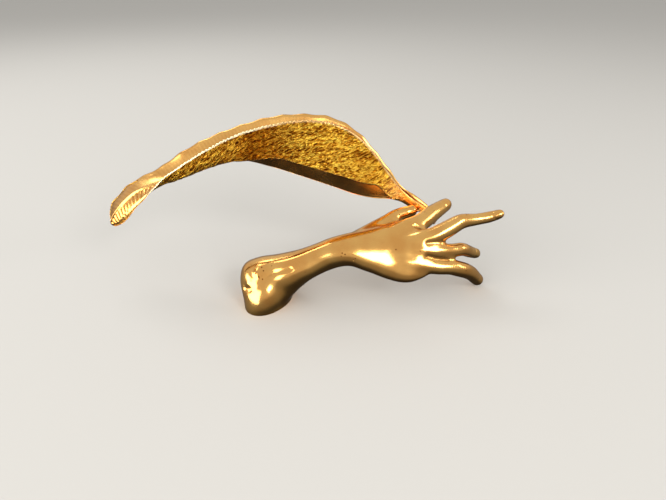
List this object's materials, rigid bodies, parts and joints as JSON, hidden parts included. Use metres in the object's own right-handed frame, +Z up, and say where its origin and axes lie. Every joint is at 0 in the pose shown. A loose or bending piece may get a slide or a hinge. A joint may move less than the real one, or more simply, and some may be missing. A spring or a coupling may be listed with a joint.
{
  "type": "hood ornament",
  "caption": "Brass hood ornament: a hand on its forearm holds a curved feather between thumb and index finger, on a hollow foot closed by a tapped plate.",
  "frame": {"origin": "middle of the box that holds the whole ornament, on the surface it stands on", "axes": "+X from the foot to the finger tips, +Y across, away from the back of the hand, +Z up from the hood"},
  "size_m": [0.2705, 0.0893, 0.111],
  "materials": {
    "polished_brass": "cast brass, polished bright by hand, with light handling marks",
    "cast_brass": "cast brass, as cast outside, buffed on rim and inner face",
    "pin_brass": "drawn brass rod",
    "plate_brass": "sawn and filed brass plate",
    "insert_steel": "turned, zinc plated",
    "screw_steel": "turned, zinc plated",
    "gasket_rubber": "matt black sheet"
  },
  "bodies": {
    "root": {"arm_casting": "polished_brass", "feather_casting": "cast_brass", "quill_pin": "pin_brass", "foot_plate": "plate_brass", "threaded_insert": "insert_steel", "foot_plate_screw_1": "screw_steel", "foot_plate_screw_2": "screw_steel", "foot_gasket": "gasket_rubber"}
  },
  "joints": []
}
